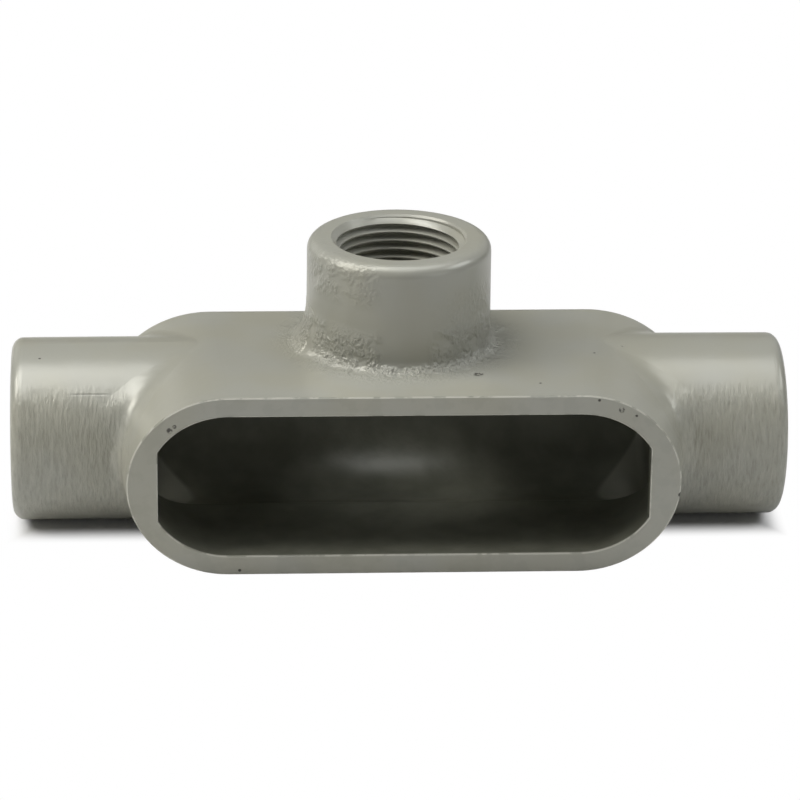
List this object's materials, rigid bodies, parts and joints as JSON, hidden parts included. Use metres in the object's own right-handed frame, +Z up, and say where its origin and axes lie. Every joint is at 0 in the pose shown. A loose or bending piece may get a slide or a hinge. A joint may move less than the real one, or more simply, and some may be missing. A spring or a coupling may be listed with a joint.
{
  "type": "conduit body",
  "caption": "T-shaped cast iron conduit body: a long hollow casting, open at the front for a cover, with a threaded pipe hub at each end and one on top.",
  "frame": {"origin": "on the flat underside, straight below the axis of the branch hub", "axes": "+X along the two in-line hubs, +Y from the cover opening into the body, +Z up along the branch hub"},
  "size_m": [0.191, 0.0629, 0.0731],
  "materials": {
    "painted_casting": "grey satin enamel over rough cast iron"
  },
  "bodies": {
    "root": {"conduit_body": "painted_casting"}
  },
  "joints": []
}
